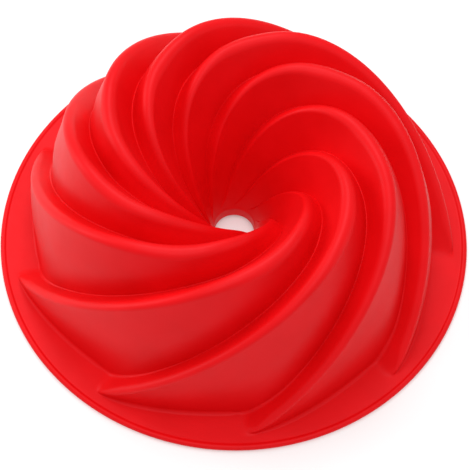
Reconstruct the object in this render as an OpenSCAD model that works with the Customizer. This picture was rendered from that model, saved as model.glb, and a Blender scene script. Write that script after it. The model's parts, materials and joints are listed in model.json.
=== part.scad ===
// Swirl-fluted silicone bundt pan, standing on its rim with the dome up.
// The origin is at the middle of the underside of the rim, and Z is the pan's axis.
// Every flute is one strip of the wall. It starts at a blunt tip on the flange, climbs the
// dome, crosses the crown and runs down the centre funnel to the tube. Positions along a
// flute are counted in pitches, where one pitch is the angle from one flute to the next.

/* [Rim] */
// Diameter over the edge bead
rim_d = 250; // [240:1:270]
// Thickness of the flat flange
flange_t = 2.5; // [1.5:0.1:3.5]
// Diameter of the rounded edge bead
bead_d = 3.2; // [3:0.1:4.5]

/* [Dome] */
// Height of the crown over the resting plane
dome_h = 86; // [84:1:96]
// How far the valleys lie below the crests at the crown
flute_depth = 16; // [14:1:17]
// Thickness of the fluted wall
wall_t = 2; // [1.5:0.1:2.4]
// Rounding radius of the flute crests
crest_r = 3; // [2.6:0.1:3.4]

/* [Centre tube] */
// Diameter of the hole through the centre tube
bore_d = 21; // [18:0.5:24]
// Thickness of the tube wall
tube_t = 2.2; // [1.8:0.1:2.4]
// Height of the tube's lower end over the resting plane
tube_lift = 2; // [1:0.5:4]
// Length of the plain round tube
tube_l = 7; // [5:1:10]

/* [Hidden] */

silicone = "red";
round_fn = 144;
bead_fn = 12;
overlap = 1;

rim_r = rim_d / 2;
bead_r = bead_d / 2;
bore_r = bore_d / 2;
tube_top = tube_lift + tube_l;
flute_count = 9;
pitch = 360 / flute_count;
first_tip = 35;

// The flange stops a little inside the bead, where the bead's own flat root takes over.
bead_root = 0.6;
flange_r = rim_r - bead_d - bead_root;

// Where a flute's flank stands on the flange: its radius at the tip, and at the corner where it
// meets the next flute out, as shares of the rim's radius.
tip_share = 0.94;
corner_share = 0.84;
tip_r = tip_share * rim_r;
corner_r = corner_share * rim_r;

// Height of the blunt step at a flute's tip, over the flange.
tip_step = 0.6;

// Stretches of the crest line, in pitches from the tip: it climbs the dome, runs level over the
// crown and falls to the tube. In plan it is an even spiral that eases round onto the tube.
crest_climb = 2;
crest_level = 0.5;
crest_fall = 3;
crest_ease_out = 1.7;
flute_end = crest_climb + crest_level + crest_fall;

// The same for the valley line, which starts at the corner, one pitch in from the tip.
valley_start = 1;
valley_climb = 1.7;
valley_level = 0.3;
valley_fall = 2.5;
valley_ease_in = 0.3;
valley_ease_out = 1.2;

// From here on all the lines run straight to the tube, so that the sections shrink evenly.
straight_start = 5;

tube_rim = [bore_r, tube_top];
tube_rim_back = [bore_r + tube_t, tube_top];

// Sections along one flute.
steps_per_pitch = 8;
last_row = flute_end * steps_per_pitch;
foot_rows = valley_start * steps_per_pitch;

// The crest rounding grows from the tip and fades towards the tube, over these pitches.
tip_blend = 0.3;
tube_blend = 1;
least_round = 0.1;

// Inside this radius the back of the wall stops at the top of the tube.
funnel_r = 2 * bore_d;

// Share of a spiral's way in that is covered at s of its length: an even pace, with stretches at
// either end over which it gathers and loses that pace.
function travelled(s, length, ease_in, ease_out) =
    let (pace = 1 / (length - (ease_in + ease_out) / 2))
    s < ease_in ? pace * s * s / (2 * ease_in)
        : s > length - ease_out ? 1 - pace * (length - s) * (length - s) / (2 * ease_out)
        : pace * (s - ease_in / 2);

// Height along a line that climbs on a quarter wave, runs level and falls on a half wave.
function arched(s, climb, level, fall, from, peak, to) =
    s < climb ? from + (peak - from) * sin(90 * s / climb)
        : s < climb + level ? peak
        : to + (peak - to) * (1 + cos(180 * (s - climb - level) / fall)) / 2;

function unit(v) = v / norm(v);
function ray(angle) = [cos(angle), sin(angle)];
function heading(v) = atan2(v[1], v[0]);
// Direction from a crest down its inner side, counted below the outer side's direction.
function inner_heading(v) = heading(v) > 0 ? heading(v) - 360 : heading(v);

// The three lines that run along a flute, in the radial plane at s pitches from its tip.
function crest_curve(s) =
    let (inwards = travelled(s, flute_end, 0, crest_ease_out))
    [
        tip_r + (bore_r - tip_r) * inwards,
        arched(s, crest_climb, crest_level, crest_fall, flange_t + tip_step, dome_h, tube_top)
    ];
function valley_curve(s) =
    let (u = s - valley_start)
    let (inwards = travelled(u, flute_end - valley_start, valley_ease_in, valley_ease_out))
    [
        corner_r + (bore_r - corner_r) * inwards,
        arched(u, valley_climb, valley_level, valley_fall, flange_t, dome_h - flute_depth, tube_top)
    ];
function to_tube(p, s) = p + (tube_rim - p) * min((s - straight_start) / (flute_end - straight_start), 1);
function crest(s) = s < straight_start ? crest_curve(s) : to_tube(crest_curve(straight_start), s);
function valley(s) = s < straight_start ? valley_curve(s) : to_tube(valley_curve(straight_start), s);
function foot(s) = [tip_r + (corner_r - tip_r) * sin(90 * s), flange_t];
function outer_low(s) = s < valley_start ? foot(s) : valley(s);

// Where the back of the flank meets the resting plane.
function flank_back_foot(low, top) =
    let (d = unit(top - low))
    [low[0] - wall_t / d[1] - d[0] / d[1] * low[1], 0];

// Back of the wall behind a valley: the two flanks' back faces meet there.
function valley_back(s) =
    let (v = valley(s))
    let (a = heading(crest(s - 1) - v))
    let (b = heading(crest(s) - v))
    let (half = (b - a) / 2)
    let (p = v - ray((a + b) / 2) * wall_t / sin(half))
    s >= flute_end ? tube_rim_back
        : p[1] < 0 || s <= valley_start ? flank_back_foot(v, crest(s))
        : p[0] < funnel_r ? [max(p[0], tube_rim_back[0]), max(p[1], tube_top)]
        : p;
function outer_low_back(s) = s < valley_start ? flank_back_foot(foot(s), crest(s)) : valley_back(s);

// Point where a line from p touches the circle of radius r about c. side is 1 or -1.
function touch(p, c, r, side) =
    let (d = p - c)
    let (turn = acos(min(r / norm(d), 1)))
    c + r * ray(heading(d) + side * turn);

function rounding(s) =
    crest_r * min(1, least_round + s / tip_blend, least_round + (flute_end - s) / tube_blend);

// Front of one section: outer valley or foot, rounded crest, inner valley.
function front_points(s) =
    let (low = outer_low(s))
    let (top = crest(s))
    let (inner = valley(s + 1))
    let (out = (heading(low - top) + inner_heading(inner - top)) / 2 + 180)
    let (r = rounding(s))
    let (c = top - r * ray(out))
    [low, touch(low, c, r, 1), top, touch(inner, c, r, -1), inner];

// Back of the same section, wall_t behind the front and never below the resting plane.
function back_points(s) =
    let (low = outer_low(s))
    let (top = crest(s))
    let (inner = valley(s + 1))
    let (out = (heading(low - top) + inner_heading(inner - top)) / 2 + 180)
    let (r = max(rounding(s) - wall_t, least_round))
    let (c = top - (r + wall_t) * ray(out))
    let (low_back = outer_low_back(s))
    let (inner_back = valley_back(s + 1))
    let (floor_z = top[0] < funnel_r ? tube_top : 0)
    [
        inner_back,
        lifted(touch(inner_back, c, r, -1), floor_z),
        lifted(top - wall_t * ray(out), floor_z),
        lifted(touch(low_back, c, r, 1), floor_z),
        low_back
    ];
function lifted(p, floor_z) = [p[0], max(p[1], floor_z)];

function turned(p, angle) = [p[0] * cos(angle), p[0] * sin(angle), p[1]];

// One flute as a closed strip. A section has five front points, then five back points.
front_n = 5;
section_n = 10;
function flute_section(row) =
    let (s = row / steps_per_pitch)
    [for (p = concat(front_points(s), back_points(s))) turned(p, s * pitch)];
// The flank stands through the flange in the first pitch, so each row there has a base point.
function base_point(row) =
    let (s = row / steps_per_pitch)
    turned([foot(s)[0], 0], s * pitch);

base_start = last_row * section_n;
tube_front = base_start + foot_rows + 1;
tube_back = tube_front + 1;
function at(row, column) =
    row < last_row ? row * section_n + column
        : column < front_n ? tube_front
        : tube_back;
function base_at(row) = base_start + row;

// Two triangles for the patch between two columns of neighbouring rows.
function patch(row, c0, c1) = [
    [at(row, c0), at(row, c1), at(row + 1, c1)],
    [at(row, c0), at(row + 1, c1), at(row + 1, c0)]
];
function is_face(f) = f[0] != f[1] && f[1] != f[2] && f[2] != f[0];

module flute(number) {
    points = concat(
        [for (row = [0 : last_row - 1]) each flute_section(row)],
        [for (row = [0 : foot_rows]) base_point(row)],
        [turned(tube_rim, flute_end * pitch), turned(tube_rim_back, flute_end * pitch)]
    );
    around = [
        for (row = [0 : last_row - 1])
            for (c = [0 : section_n - 2])
                each patch(row, c, c + 1)
    ];
    valley_side = [
        for (row = [foot_rows : last_row - 1])
            each [
                [at(row, section_n - 1), at(row, 0), at(row + 1, section_n - 1)],
                [at(row, 0), at(row + 1, 0), at(row + 1, section_n - 1)]
            ]
    ];
    foot_side = [
        for (row = [0 : foot_rows - 1])
            each [
                [at(row, section_n - 1), base_at(row), base_at(row + 1)],
                [at(row, section_n - 1), base_at(row + 1), at(row + 1, section_n - 1)],
                [base_at(row), at(row, 0), at(row + 1, 0)],
                [base_at(row), at(row + 1, 0), base_at(row + 1)]
            ]
    ];
    caps = [
        concat([base_at(0)], [for (c = [section_n - 1 : -1 : 0]) at(0, c)]),
        [base_at(foot_rows), at(foot_rows, 0), at(foot_rows, section_n - 1)]
    ];
    rotate([0, 0, first_tip + (number - 1) * pitch])
        polyhedron(
            points = points,
            faces = concat([for (f = concat(around, valley_side, foot_side)) if (is_face(f)) f], caps)
        );
}

// Saw-tooth opening in the flange that the flutes stand in.
module flute_opening() {
    outline = [
        for (k = [0 : flute_count - 1])
            for (row = [0 : foot_rows])
                let (s = row / steps_per_pitch)
                foot(s)[0] * ray(first_tip + (k + s) * pitch)
    ];
    polygon(outline);
}

module edge_bead() {
    color(silicone)
        rotate_extrude($fn = round_fn)
            union() {
                translate([flange_r, 0])
                    square([bead_root + bead_r, flange_t]);
                translate([rim_r - bead_r, bead_r])
                    circle(r = bead_r, $fn = bead_fn);
            }
}

module rim_flange() {
    color(silicone)
        linear_extrude(flange_t)
            difference() {
                circle(r = flange_r, $fn = round_fn);
                flute_opening();
            }
}

module swirl_flute(number) {
    color(silicone)
        flute(number);
}

module tube_collar() {
    color(silicone)
        translate([0, 0, tube_lift])
            difference() {
                cylinder(r = bore_r + tube_t, h = tube_l, $fn = round_fn);
                translate([0, 0, -overlap])
                    cylinder(r = bore_r, h = tube_l + 2 * overlap, $fn = round_fn);
            }
}

edge_bead();
rim_flange();
swirl_flute(1);  // flute_1
swirl_flute(2);  // flute_2
swirl_flute(3);  // flute_3
swirl_flute(4);  // flute_4
swirl_flute(5);  // flute_5
swirl_flute(6);  // flute_6
swirl_flute(7);  // flute_7
swirl_flute(8);  // flute_8
swirl_flute(9);  // flute_9
tube_collar();
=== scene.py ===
import json
import math

import bpy
import bmesh
import numpy as np
from mathutils import Matrix, Vector


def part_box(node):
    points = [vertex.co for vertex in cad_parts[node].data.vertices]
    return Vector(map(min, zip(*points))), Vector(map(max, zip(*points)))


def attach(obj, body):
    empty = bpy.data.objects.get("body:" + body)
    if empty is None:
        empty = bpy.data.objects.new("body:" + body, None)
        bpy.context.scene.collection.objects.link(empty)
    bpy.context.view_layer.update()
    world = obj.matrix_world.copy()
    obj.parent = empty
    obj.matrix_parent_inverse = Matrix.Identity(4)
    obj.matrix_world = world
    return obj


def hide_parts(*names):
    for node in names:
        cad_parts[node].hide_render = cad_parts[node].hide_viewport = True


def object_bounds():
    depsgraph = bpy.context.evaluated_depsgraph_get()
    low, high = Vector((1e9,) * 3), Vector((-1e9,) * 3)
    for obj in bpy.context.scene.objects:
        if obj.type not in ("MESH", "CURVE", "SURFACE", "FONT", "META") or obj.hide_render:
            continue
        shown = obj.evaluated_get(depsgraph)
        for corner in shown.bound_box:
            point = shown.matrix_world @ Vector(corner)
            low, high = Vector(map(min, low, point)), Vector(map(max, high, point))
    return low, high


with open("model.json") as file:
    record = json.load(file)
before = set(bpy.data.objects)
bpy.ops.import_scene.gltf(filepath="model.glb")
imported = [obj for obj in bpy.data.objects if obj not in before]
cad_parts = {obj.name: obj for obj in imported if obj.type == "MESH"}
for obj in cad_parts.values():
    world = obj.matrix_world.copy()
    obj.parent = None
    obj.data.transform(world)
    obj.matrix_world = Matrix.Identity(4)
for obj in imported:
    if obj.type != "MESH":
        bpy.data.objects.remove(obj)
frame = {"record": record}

# A swirl-fluted silicone bundt pan, dome up. The wall is nine equal flutes. Each one is a strip
# that starts at a tip on the flange, climbs the dome, crosses the crown and runs down the centre
# funnel to the tube. Places along a flute are counted in pitches, where one pitch is the angle
# from one flute to the next. Sections are drawn in the radial plane as (radius, height), in
# millimetres, and run from the outer side of the flute to its inner side.

cad_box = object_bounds()
MM = 0.001
FLUTES = 9
PITCH_DEG = 40.0
FIRST_TIP_DEG = 35.0


# ---------------------------------------------------------------- sizes from the frame

def highest(node):
    """Highest corner of a CAD node, in millimetres."""
    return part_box(node)[1] / MM


def bore_radius():
    """Radius of the hole through the tube, in millimetres."""
    mounts = frame["record"]["mounts"]
    return next(m["dims"]["r_mm"] for m in mounts if m["name"] == "centre_bore")


RIM_R = highest("edge_bead").x
BEAD_D = highest("edge_bead").z
FLANGE_R = highest("rim_flange").x
FLANGE_T = highest("rim_flange").z
TUBE_R = highest("tube_collar").x
TUBE_TOP = highest("tube_collar").z
TUBE_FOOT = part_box("tube_collar")[0].z / MM
BORE_R = bore_radius()
# A rounded crest stands a hair over its crest line, which this leaves room for.
CREST_ROOM = 0.05
CROWN = cad_box[1].z / MM - CREST_ROOM
WALL = 2.0

# Design values that the frame doesn't hold: how far the valleys lie below the crests at the
# crown, where a flank stands on the flange at its tip and at the corner with the next flute
# out, as shares of the rim's radius, and how high over the flange a crest line starts.
FLUTE_DEPTH = 16.0
TIP_R = 0.94 * RIM_R
CORNER_R = 0.84 * RIM_R
TIP_STEP = 0.6

# The funnel rolls over a small lip into the tube. The wall ends where that lip starts.
LIP_IN = 0.6
LIP_UP = 1.0
LIP = np.array([BORE_R + LIP_IN, TUBE_TOP + LIP_UP])
LIP_BACK = np.array([TUBE_R, TUBE_TOP])


# ---------------------------------------------------------------- outlines along a flute

# Stretches of the crest line, in pitches from the tip: it climbs the dome, runs level over the
# crown and falls to the tube. In plan it is an even spiral that eases round onto the tube.
CREST_CLIMB = 2.0
CREST_LEVEL = 0.5
CREST_FALL = 3.0
CREST_EASE_OUT = 1.7
FLUTE_END = CREST_CLIMB + CREST_LEVEL + CREST_FALL

# The same for the valley line, which starts at the corner, one pitch in from the tip.
VALLEY_START = 1.0
VALLEY_CLIMB = 1.7
VALLEY_LEVEL = 0.3
VALLEY_FALL = 2.5
VALLEY_EASE_IN = 0.3
VALLEY_EASE_OUT = 1.2

# From here on all the lines run straight to the lip, so that the sections shrink evenly.
STRAIGHT_START = 5.0

# The tip is soft: it starts a little before zero, and its first stretch is a flattened copy of
# the section at TIP_FULL.
TIP_START = -0.08
TIP_FULL = 0.055
TIP_SOFT = 2.0

# Pitches over which the wall at a flute's outer edge thins from the flange's thickness.
WALL_BLEND = 0.3

# Rounding of the crest on the dome and at its foot, and of the corner at the flank's low side on
# the flange and in the valley. The blends are the pitches over which one becomes the other.
CREST_ROUND = 8.0
FOOT_CREST_ROUND = 7.0
CREST_ROUND_BLEND = 1.8
FOOT_FILLET = 2.2
VALLEY_FILLET = 0.4
FILLET_BLEND = 0.6
# In the funnel the crest's rounding grows, from this start and over this many pitches.
FUNNEL_ROUND = 10.0
FUNNEL_ROUND_START = 3.4
FUNNEL_ROUND_BLEND = 1.2
# The back of a crest keeps this much rounding where the wall is thicker than the front's.
LEAST_BACK_ROUND = 0.1
# How far a flank stands proud at its middle, as a share of its length.
FLANK_BULGE = 0.03

# A rounding eases off as it nears these shares of the sides next to it. The least angles keep
# the sums finite where two sides are almost in line.
CREST_SIDE_SHARE = 0.5
FILLET_SIDE_SHARE = 0.4
LEAST_CREST_OPENING = 0.2
LEAST_FILLET_BEND = 0.01

# Rounding between flange and bead, and at the tube's lower end.
BEAD_HOLLOW = 1.5
LOW_LIP = 0.7

# Steps round the bead, the hollow beside it and the tube's two lips.
BEAD_STEPS = 22
HOLLOW_STEPS = 5
LIP_STEPS = 6
LOW_LIP_STEPS = 5

# Columns of a section, and rows in one pitch as (end, steps) stretches from TIP_START.
FILLET_STEPS = 6
FLANK_STEPS = 6
CREST_STEPS = 10
RAMP_STEPS = 6
ROW_STRETCHES = [(0.10, 12), (0.50, 10), (0.92, 10)]


def soft(height):
    """The height where it is well over the flange, easing to zero below it."""
    if height >= TIP_SOFT:
        return height
    if height <= -TIP_SOFT:
        return 0.0
    return (height + TIP_SOFT) ** 2 / (4 * TIP_SOFT)


def smoothstep(x):
    x = min(max(x, 0.0), 1.0)
    return x * x * (3 - 2 * x)


def mix(a, b, share):
    return a + (b - a) * share


def ray(angle):
    return np.array([math.cos(angle), math.sin(angle)])


def heading(v):
    return math.atan2(v[1], v[0])


def travelled(s, length, ease_in, ease_out):
    """Share of a spiral's way in that is covered at s of its length: an even pace, with
    stretches at either end over which it gathers and loses that pace."""
    pace = 1 / (length - (ease_in + ease_out) / 2)
    if s < ease_in:
        return pace * s * s / (2 * ease_in)
    if s > length - ease_out:
        return 1 - pace * (length - s) ** 2 / (2 * ease_out)
    return pace * (s - ease_in / 2)


def arched(s, climb, level, fall, start, peak):
    """Height over the flange along a line that climbs on a quarter wave, runs level at its
    peak and falls to the lip on a half wave."""
    if s < climb:
        return mix(start, peak, math.sin(math.pi / 2 * s / climb))
    if s < climb + level:
        return peak
    end = LIP[1] - FLANGE_T
    return end + (peak - end) * (1 + math.cos(math.pi * (s - climb - level) / fall)) / 2


def crest_height(s):
    """Height of the crest over the flange. It is below zero before the tip."""
    return arched(s, CREST_CLIMB, CREST_LEVEL, CREST_FALL, TIP_STEP, CROWN - FLANGE_T)


def crest_curve(s):
    inwards = travelled(s, FLUTE_END, 0.0, CREST_EASE_OUT)
    return np.array([mix(TIP_R, LIP[0], inwards), FLANGE_T + soft(crest_height(s))])


def low_curve(s):
    along = s - VALLEY_START
    peak = CROWN - FLUTE_DEPTH - FLANGE_T
    height = soft(arched(along, VALLEY_CLIMB, VALLEY_LEVEL, VALLEY_FALL, 0.0, peak))
    if along < 0:
        radius = mix(TIP_R, CORNER_R, math.sin(math.pi / 2 * s))
    else:
        inwards = travelled(along, FLUTE_END - VALLEY_START, VALLEY_EASE_IN, VALLEY_EASE_OUT)
        radius = mix(CORNER_R, LIP[0], inwards)
    return np.array([radius, FLANGE_T + height])


def to_lip(point, s):
    return mix(point, LIP, min((s - STRAIGHT_START) / (FLUTE_END - STRAIGHT_START), 1.0))


def crest(s):
    """Top of the flute at s pitches."""
    return crest_curve(s) if s < STRAIGHT_START else to_lip(crest_curve(STRAIGHT_START), s)


def low(s):
    """Foot of the outer flank on the flange, then the valley outside the flute."""
    return low_curve(s) if s < STRAIGHT_START else to_lip(low_curve(STRAIGHT_START), s)


def eased(size, room):
    """A rounding radius that shrinks gently where there is little room for it."""
    return size * room / math.hypot(size, room) if room > 0 else 0.0


def funnel_share(s):
    return smoothstep((s - FUNNEL_ROUND_START) / FUNNEL_ROUND_BLEND)


class Ridge:
    """Rounded crest of the section at s pitches: a circle and where its two sides leave it."""

    def __init__(self, s):
        top, outer, inner = crest(s), low(s), low(s + 1)
        down_out = heading(outer - top)
        down_in = heading(inner - top) % (2 * math.pi)
        half = (down_in - down_out) / 2
        opening = math.pi - half
        room = CREST_SIDE_SHARE * min(np.linalg.norm(outer - top), np.linalg.norm(inner - top))
        size = mix(FOOT_CREST_ROUND, CREST_ROUND, smoothstep(s / CREST_ROUND_BLEND))
        size = mix(size, FUNNEL_ROUND, funnel_share(s))
        self.out = ray((down_in + down_out) / 2)
        self.radius = eased(size, room * math.tan(max(opening, LEAST_CREST_OPENING)))
        self.centre = top - self.radius * self.out
        self.start = self.side_angle(outer, down_out, 1)
        self.end = self.side_angle(inner, down_in, -1)

    def side_angle(self, foot, about, side):
        """Angle on the circle at which the straight side from foot touches it."""
        d = foot - self.centre
        turn = math.acos(min(self.radius / np.linalg.norm(d), 1.0))
        towards = about + (heading(d) - about + math.pi) % (2 * math.pi) - math.pi
        return towards + side * turn

    def at(self, share):
        """Point on the front of the crest, from its outer side at 0 to its inner side at 1."""
        return self.centre + self.radius * ray(mix(self.start, self.end, share))

    def back_at(self, share):
        """The same place on the back of the wall, where the two sides' backs meet."""
        back_radius = max(self.radius - WALL, LEAST_BACK_ROUND)
        sink = (self.radius - WALL - back_radius) / math.cos((self.end - self.start) / 2)
        return self.centre + self.out * sink + back_radius * ray(mix(self.start, self.end, share))


TIP_RIDGE = Ridge(TIP_FULL)
TIP_LOW = low(TIP_FULL)
TIP_INNER = low(TIP_FULL + 1)
COLUMNS = FILLET_STEPS + FLANK_STEPS + CREST_STEPS + RAMP_STEPS + 1
RAMP_COLUMN = COLUMNS - 1 - RAMP_STEPS


def tip_height_share(s):
    """Height of the tip at s, as a share of its height at TIP_FULL."""
    return soft(crest_height(s)) / soft(crest_height(TIP_FULL))


def settled(s, point, column, base):
    """Where a point of the section at TIP_FULL lies at an s nearer to the start of the tip.
    base is the height that it settles to."""
    outer, inner = low(s)[0], low(s + 1)[0]
    along = (point[0] - TIP_INNER[0]) / (TIP_LOW[0] - TIP_INNER[0])
    even = mix(outer + foot_reach(TIP_FULL), inner, column / (COLUMNS - 1))
    share = smoothstep((s - TIP_START) / (TIP_FULL - TIP_START))
    height = mix(base, point[1], tip_height_share(s))
    return np.array([mix(even, mix(inner, outer, along), share), height])


def ramp_top(s):
    """Where the inner side of the section leaves its crest, on the front of the wall."""
    if s >= TIP_FULL:
        return Ridge(s).at(1)
    return settled(s, TIP_RIDGE.at(1), RAMP_COLUMN, FLANGE_T)


def ramp_angle(s):
    """Direction that the inner side of the section faces."""
    return heading(low(s + 1) - ramp_top(s)) % (2 * math.pi) - math.pi / 2


class Fillet:
    """Rounded corner at the low side of the section: with the flange in the first pitch, and
    with the inner side of the next flute out after that."""

    def __init__(self, s):
        corner = low(s)
        ridge = Ridge(s)
        self.end = ridge.start
        self.on_flange = s - 1 < TIP_START
        if self.on_flange:
            self.start = math.pi / 2
            outer_room = np.linalg.norm(ridge.at(0) - corner)
        else:
            self.start = ramp_angle(s - 1)
            outer_room = np.linalg.norm(ramp_top(s - 1) - corner)
        turn = self.end - self.start
        room = FILLET_SIDE_SHARE * min(outer_room, np.linalg.norm(ridge.at(0) - corner))
        size = mix(FOOT_FILLET, VALLEY_FILLET, smoothstep((s - VALLEY_START) / FILLET_BLEND))
        self.side = -1 if turn > 0 else 1
        bend = max(math.tan(abs(turn) / 2), LEAST_FILLET_BEND)
        self.radius = eased(size, room / bend)
        self.reach = self.radius * math.tan(abs(turn) / 2)
        middle = ray((self.start + self.end) / 2)
        self.centre = corner + self.side * middle * self.radius / math.cos(turn / 2)

    def angle(self, share):
        return mix(self.start, self.end, share)

    def at(self, share):
        return self.centre - self.side * self.radius * ray(self.angle(share))


def foot_reach(s):
    """How far the fillet reaches out over the flange from the foot of the flank."""
    return Fillet(s).reach


def border(s):
    """Outer edge of the flute's front: where its fillet meets the flange or the next flute."""
    if s >= FLUTE_END:
        return LIP
    if s < TIP_FULL:
        return np.array([low(s)[0] + foot_reach(TIP_FULL), FLANGE_T])
    return Fillet(s).at(0)


def border_wall(s):
    """Wall thickness at that edge. It is the flange's at first."""
    if s - 1 < TIP_START:
        return FLANGE_T
    return mix(FLANGE_T, WALL, smoothstep((s - 1 - TIP_START) / WALL_BLEND))


def border_back(s):
    if s >= FLUTE_END:
        return LIP_BACK
    edge = border(s)
    if s - 1 < TIP_START:
        return np.array([edge[0], 0.0])
    back = edge - border_wall(s) * ray(ramp_angle(s - 1))
    return np.array([back[0], max(back[1], 0.0)])


def outer_columns(s):
    """Front and back of a section from its outer edge to the inner end of its crest."""
    ridge = Ridge(s)
    fillet = Fillet(s)
    front, back = [], []
    for i in range(FILLET_STEPS + 1):
        share = i / FILLET_STEPS
        point = fillet.at(share)
        front.append(point)
        back.append(point - mix(border_wall(s), WALL, share) * ray(fillet.angle(share)))
    face = ray(ridge.start)
    bulge = FLANK_BULGE * np.linalg.norm(ridge.at(0) - front[-1])
    for i in range(1, FLANK_STEPS):
        share = i / FLANK_STEPS
        proud = bulge * math.sin(math.pi * share) ** 2 * face
        front.append(mix(fillet.at(1), ridge.at(0), share) + proud)
        back.append(mix(back[FILLET_STEPS], ridge.back_at(0), share) + proud)
    for i in range(CREST_STEPS + 1):
        front.append(ridge.at(i / CREST_STEPS))
        back.append(ridge.back_at(i / CREST_STEPS))
    return front, back


def section(s):
    """Front and back points of the whole section at s, outer side first."""
    if s >= TIP_FULL:
        front, back = outer_columns(s)
    else:
        front, back = outer_columns(TIP_FULL)
        front = [settled(s, p, i, FLANGE_T) for i, p in enumerate(front)]
        back = [settled(s, p, i, 0.0) for i, p in enumerate(back)]
    front[0], back[0] = border(s), border_back(s)
    front_end, back_end = border(s + 1), border_back(s + 1)
    front_top, back_top = front[-1], back[-1]
    for i in range(1, RAMP_STEPS + 1):
        share = i / RAMP_STEPS
        front.append(mix(front_top, front_end, share))
        back.append(mix(back_top, back_end, share))
    back = [np.array([p[0], max(p[1], 0.0)]) for p in back]
    return front, back


# ---------------------------------------------------------------- meshes

def rows_of_one_pitch():
    """Row places from TIP_START up to one pitch later, closest together at the tip."""
    places = [TIP_START]
    for end, steps in ROW_STRETCHES:
        start = places[-1]
        places += [start + (end - start) * i / steps for i in range(1, steps + 1)]
    return places[:-1]


PITCH_ROWS = rows_of_one_pitch()
PITCHES = range(math.ceil(FLUTE_END))
ROWS = [turn + place for turn in PITCHES for place in PITCH_ROWS if turn + place < FLUTE_END]


def turned(point, pitches):
    """A section point at its place in the row frame, in metres."""
    angle = math.radians(FIRST_TIP_DEG + PITCH_DEG * pitches)
    r = point[0] * MM
    return (r * math.cos(angle), r * math.sin(angle), point[1] * MM)


class Shape:
    """Points and faces of one piece. Faces added as inner lie against another piece."""

    def __init__(self):
        self.points, self.faces, self.inner = [], [], []

    def add(self, places):
        start = len(self.points)
        self.points += places
        return list(range(start, len(self.points)))

    def band(self, a, b, closed=False, inner=False):
        """Quads between two rows of points that have equal numbers of points."""
        ends = range(len(a)) if closed else range(len(a) - 1)
        kept = self.inner if inner else self.faces
        kept += [(a[i], a[(i + 1) % len(a)], b[(i + 1) % len(a)], b[i]) for i in ends]

    def fan(self, row, tip):
        """Triangles from a row of points to one more point."""
        self.faces += [(row[i], row[i + 1], tip) for i in range(len(row) - 1)]


def flute_shape(number, sections):
    """One flute as a closed strip."""
    shape = Shape()
    fronts, backs = [], []
    for s, (front, back) in zip(ROWS, sections):
        fronts.append(shape.add([turned(p, number + s) for p in front]))
        backs.append(shape.add([turned(p, number + s) for p in back]))
    lip, lip_back = shape.add([turned(p, number + FLUTE_END) for p in (LIP, LIP_BACK)])
    for i in range(len(ROWS) - 1):
        shape.band(fronts[i], fronts[i + 1])
        shape.band(backs[i], backs[i + 1])
        shape.band([fronts[i][0], backs[i][0]], [fronts[i + 1][0], backs[i + 1][0]], inner=True)
        shape.band([fronts[i][-1], backs[i][-1]], [fronts[i + 1][-1], backs[i + 1][-1]], inner=True)
    shape.fan(fronts[-1], lip)
    shape.fan(backs[-1], lip_back)
    shape.inner.append((fronts[-1][0], backs[-1][0], lip_back, lip))
    shape.inner.append((fronts[-1][-1], backs[-1][-1], lip_back, lip))
    shape.band(fronts[0], backs[0], inner=True)
    return shape


def circle_places():
    """Every row place round the whole pan, in pitches."""
    return [k + place for k in range(FLUTES) for place in PITCH_ROWS]


def lathe_shape(profile, seam):
    """A closed profile turned about the pan's axis. seam lists the profile steps that lie
    against another piece."""
    shape = Shape()
    rings = [shape.add([turned(p, place) for place in circle_places()]) for p in profile]
    for i, ring in enumerate(rings):
        shape.band(ring, rings[(i + 1) % len(rings)], closed=True, inner=i in seam)
    return shape


def arc(centre, radius, start_deg, end_deg, steps):
    angles = [math.radians(mix(start_deg, end_deg, i / steps)) for i in range(steps + 1)]
    return [np.array(centre) + radius * ray(a) for a in angles]


def bead_shape():
    """Rounded edge of the rim, with a hollow where it meets the flange."""
    radius = BEAD_D / 2
    middle = (RIM_R - radius, radius)
    up = FLANGE_T + BEAD_HOLLOW - radius
    across = math.sqrt((radius + BEAD_HOLLOW) ** 2 - up ** 2)
    hollow_middle = (middle[0] - across, FLANGE_T + BEAD_HOLLOW)
    meet = math.degrees(math.atan2(up, -across))
    profile = [np.array([FLANGE_R, 0.0]), np.array([FLANGE_R, FLANGE_T])]
    profile += arc(hollow_middle, BEAD_HOLLOW, 270, meet + 180, HOLLOW_STEPS)
    profile += arc(middle, radius, meet, -90, BEAD_STEPS)[1:]
    return lathe_shape(profile, seam=[0])


def tube_shape():
    """Round tube at the bottom of the funnel, with a rounded lip at both ends."""
    lip_start = np.array([BORE_R, TUBE_TOP - LIP_UP])
    corner = np.array([BORE_R, TUBE_TOP])
    shares = [i / LIP_STEPS for i in range(LIP_STEPS + 1)]
    lip = [mix(mix(LIP, corner, t), mix(corner, lip_start, t), t) for t in shares]
    level = TUBE_FOOT + LOW_LIP
    inside = arc((BORE_R + LOW_LIP, level), LOW_LIP, 180, 270, LOW_LIP_STEPS)
    outside = arc((TUBE_R - LOW_LIP, level), LOW_LIP, 270, 360, LOW_LIP_STEPS)
    profile = lip + inside + outside + [LIP_BACK]
    return lathe_shape(profile, seam=[len(profile) - 1])


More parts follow.
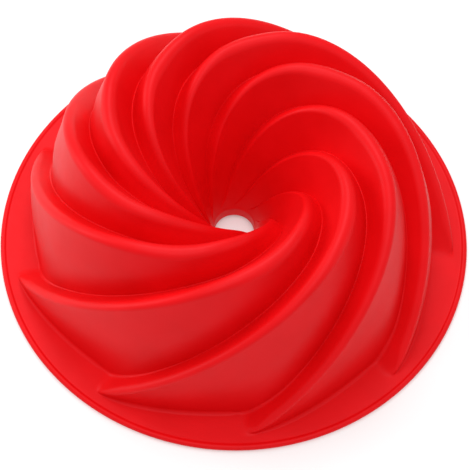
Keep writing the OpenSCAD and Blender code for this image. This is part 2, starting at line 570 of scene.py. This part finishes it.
def flange_shape(start_columns):
    """Flat flange between the bead and the flutes' saw-toothed foot. start_columns are the
    radii of the points across the start of a flute's tip, outermost first."""
    shape = Shape()
    count = len(PITCH_ROWS)
    foot_radii = [border(s)[0] for s in PITCH_ROWS] * FLUTES
    outer_edges, inner_edges = [], []
    for level in (FLANGE_T, 0.0):
        outer = shape.add([turned((FLANGE_R, level), place) for place in circle_places()])
        foot = shape.add([turned((r, level), place) for r, place in zip(foot_radii, circle_places())])
        edge = []
        for k in range(FLUTES):
            first, last = k * count, (k + 1) * count - 1
            ahead = (last + 1) % len(foot)
            tip = shape.add([turned((r, level), k + 1 + TIP_START) for r in start_columns[1:]])
            shape.band(outer[first:last + 1], foot[first:last + 1])
            shape.faces.append((outer[last], outer[ahead], foot[ahead], foot[last]))
            shape.fan([foot[ahead]] + tip, foot[last])
            edge += foot[first:last + 1] + tip[::-1]
        outer_edges.append(outer)
        inner_edges.append(edge)
    shape.band(*outer_edges, closed=True, inner=True)
    shape.band(*inner_edges, closed=True, inner=True)
    return shape


def make_mesh(name, shape):
    """Mesh of a shape, with every face turned outwards."""
    mesh = bpy.data.meshes.new(name)
    mesh.from_pydata(shape.points, [], shape.faces + shape.inner)
    bm = bmesh.new()
    bm.from_mesh(mesh)
    bmesh.ops.recalc_face_normals(bm, faces=bm.faces)
    bm.to_mesh(mesh)
    bm.free()
    mesh.shade_smooth()
    return mesh


# Points that fall on one place of a grid with this many steps to the metre count as one point.
# LEAST_LENGTH guards a division.
WELD_GRID = 1e6
LEAST_LENGTH = 1e-12


def share_normals(meshes, shapes):
    """Gives points that several pieces share one normal, weighted by face area, so that light
    runs on over the seams as it does over one moulding."""
    places, owners, pulls = [], [], []
    start = 0
    for mesh, shape in zip(meshes, shapes):
        places.append(np.array([v.co for v in mesh.vertices]))
        for face in list(mesh.polygons)[:len(shape.faces)]:
            pull = np.array(face.normal) * face.area
            owners += [start + v for v in face.vertices]
            pulls += [pull] * len(face.vertices)
        start += len(mesh.vertices)
    grid = np.round(np.concatenate(places) * WELD_GRID).astype(np.int64)
    _, spot = np.unique(grid, axis=0, return_inverse=True)
    spot = spot.ravel()
    total = np.zeros((spot.max() + 1, 3))
    np.add.at(total, spot[owners], np.array(pulls))
    length = np.linalg.norm(total, axis=1, keepdims=True)
    normals = (total / np.maximum(length, LEAST_LENGTH))[spot]
    start = 0
    for mesh in meshes:
        mesh.normals_split_custom_set_from_vertices(normals[start:start + len(mesh.vertices)])
        start += len(mesh.vertices)


# ---------------------------------------------------------------- materials

def node(tree, kind, **settings):
    made = tree.nodes.new(kind)
    for name, value in settings.items():
        made.inputs[name.replace("_", " ")].default_value = value
    return made


def silicone_material():
    """Satin food-grade silicone: red with faint mottling, patchy gloss and a fine moulded grain.
    Noise scales are in cycles per metre."""
    material = bpy.data.materials.new("red_silicone")
    material.use_nodes = True
    tree = material.node_tree
    tree.nodes.clear()
    link = tree.links.new
    output = tree.nodes.new("ShaderNodeOutputMaterial")
    shader = node(tree, "ShaderNodeBsdfPrincipled", IOR=1.43)
    shader.inputs["Specular IOR Level"].default_value = 0.2
    shader.inputs["Specular Tint"].default_value = (1.0, 0.85, 1.0, 1.0)
    place = tree.nodes.new("ShaderNodeTexCoord")

    cloud = node(tree, "ShaderNodeTexNoise", Scale=38.0, Detail=3.0, Roughness=0.5)
    link(place.outputs["Object"], cloud.inputs["Vector"])
    shade = tree.nodes.new("ShaderNodeValToRGB")
    shade.color_ramp.elements[0].position = 0.3
    shade.color_ramp.elements[0].color = (0.71, 0.002, 0.003, 1.0)
    shade.color_ramp.elements[1].position = 0.7
    shade.color_ramp.elements[1].color = (0.77, 0.003, 0.005, 1.0)
    link(cloud.outputs["Fac"], shade.inputs["Fac"])
    link(shade.outputs["Color"], shader.inputs["Base Color"])

    bloom = node(tree, "ShaderNodeTexNoise", Scale=160.0, Detail=4.0, Roughness=0.6)
    link(place.outputs["Object"], bloom.inputs["Vector"])
    rough = node(tree, "ShaderNodeMapRange")
    rough.inputs["To Min"].default_value = 0.40
    rough.inputs["To Max"].default_value = 0.52
    link(bloom.outputs["Fac"], rough.inputs["Value"])
    link(rough.outputs["Result"], shader.inputs["Roughness"])

    grain = node(tree, "ShaderNodeTexNoise", Scale=1800.0, Detail=2.0, Roughness=0.5)
    link(place.outputs["Object"], grain.inputs["Vector"])
    bump = node(tree, "ShaderNodeBump", Strength=0.12, Distance=0.0001)
    link(grain.outputs["Fac"], bump.inputs["Height"])
    link(bump.outputs["Normal"], shader.inputs["Normal"])

    link(shader.outputs["BSDF"], output.inputs["Surface"])
    return material


def floor_material():
    """Matt white light table, faintly lit from below."""
    material = bpy.data.materials.new("pale_floor")
    material.use_nodes = True
    shader = material.node_tree.nodes["Principled BSDF"]
    shader.inputs["Base Color"].default_value = (0.72, 0.72, 0.72, 1.0)
    shader.inputs["Roughness"].default_value = 0.9
    shader.inputs["Specular IOR Level"].default_value = 0.1
    shader.inputs["Emission Color"].default_value = (1.0, 1.0, 1.0, 1.0)
    shader.inputs["Emission Strength"].default_value = 0.25
    return material


# ---------------------------------------------------------------- the pan

def build_pan():
    sections = [section(s) for s in ROWS]
    shapes = {}
    for k in range(FLUTES):
        shapes[f"swirl_flute_{k + 1}"] = (flute_shape(k, sections), f"flute_{k + 1}")
    start_columns = [p[0] for p in sections[0][0]]
    shapes["flange_plate"] = (flange_shape(start_columns), "rim_flange")
    shapes["rim_edge"] = (bead_shape(), "edge_bead")
    shapes["centre_tube"] = (tube_shape(), "tube_collar")
    silicone = silicone_material()
    meshes = {name: make_mesh(name, shape) for name, (shape, _) in shapes.items()}
    share_normals(list(meshes.values()), [shape for shape, _ in shapes.values()])
    for name, (_, cad_node) in shapes.items():
        meshes[name].materials.append(silicone)
        piece = bpy.data.objects.new(name, meshes[name])
        bpy.context.scene.collection.objects.link(piece)
        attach(piece, "root")
        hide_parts(cad_node)


# ---------------------------------------------------------------- studio

# The floor lies a hair below the rim, so that the two never share a plane. Its half width is in
# rim radii.
FLOOR_GAP = 0.0002
FLOOR_HALF = 24

# The camera's angle, and its distance and target in rim radii.
CAMERA_ELEVATION_DEG = 59.9
CAMERA_ROLL_DEG = 1.6
CAMERA_DISTANCE = 6.45
CAMERA_TARGET = (0.004, -0.014, 0.016)
LENS_MM = 115.0
SENSOR_MM = 36.0


def make_floor():
    half = FLOOR_HALF * RIM_R * MM
    level = cad_box[0].z - FLOOR_GAP
    mesh = bpy.data.meshes.new("studio_floor")
    corners = [(-half, -half), (half, -half), (half, half), (-half, half)]
    mesh.from_pydata([(x, y, level) for x, y in corners], [], [(0, 1, 2, 3)])
    mesh.materials.append(floor_material())
    floor = bpy.data.objects.new("studio_floor", mesh)
    bpy.context.scene.collection.objects.link(floor)


def softbox(name, azimuth, elevation, distance, size, power):
    """Square area light that faces the pan, with its distance and size in metres and its power
    in watts. Azimuth 0 is in front, at -Y, and 90 at +X."""
    light = bpy.data.lights.new(name, "AREA")
    light.shape = "SQUARE"
    light.size = size
    light.energy = power
    a, e = math.radians(azimuth), math.radians(elevation)
    away = Vector((math.sin(a) * math.cos(e), -math.cos(a) * math.cos(e), math.sin(e)))
    lamp = bpy.data.objects.new(name, light)
    lamp.location = away * distance
    lamp.rotation_mode = "QUATERNION"
    lamp.rotation_quaternion = away.to_track_quat("Z", "Y")
    bpy.context.scene.collection.objects.link(lamp)


def make_lights():
    softbox("key_left", -106, 26, 0.9, 0.5, 2.4)
    softbox("fill_right", 80, 30, 1.0, 0.5, 0.6)
    softbox("top_back", 186, 60, 1.2, 0.5, 4.5)
    softbox("top_front", 0, 80, 1.3, 0.9, 5.6)
    world = bpy.data.worlds.new("studio")
    world.use_nodes = True
    sky = world.node_tree.nodes["Background"]
    sky.inputs["Color"].default_value = (1.0, 1.0, 1.0, 1.0)
    sky.inputs["Strength"].default_value = 0.60
    bpy.context.scene.world = world


def make_camera():
    """Long lens in front of the pan and high over the table."""
    rim = RIM_R * MM
    elevation = math.radians(CAMERA_ELEVATION_DEG)
    roll = math.radians(CAMERA_ROLL_DEG)
    target = Vector([share * rim for share in CAMERA_TARGET])
    away = Vector((0.0, -math.cos(elevation), math.sin(elevation)))
    right = Vector((1.0, 0.0, 0.0))
    up = away.cross(right)
    x_axis = right * math.cos(roll) + up * math.sin(roll)
    y_axis = up * math.cos(roll) - right * math.sin(roll)
    turn = Matrix((x_axis, y_axis, away)).transposed()
    data = bpy.data.cameras.new("camera")
    data.sensor_width = SENSOR_MM
    data.lens = LENS_MM
    camera = bpy.data.objects.new("camera", data)
    place = target + away * (CAMERA_DISTANCE * rim)
    camera.matrix_world = Matrix.Translation(place) @ turn.to_4x4()
    bpy.context.scene.collection.objects.link(camera)
    bpy.context.scene.camera = camera


build_pan()
make_floor()
make_lights()
make_camera()
bpy.context.scene.view_settings.view_transform = "Standard"
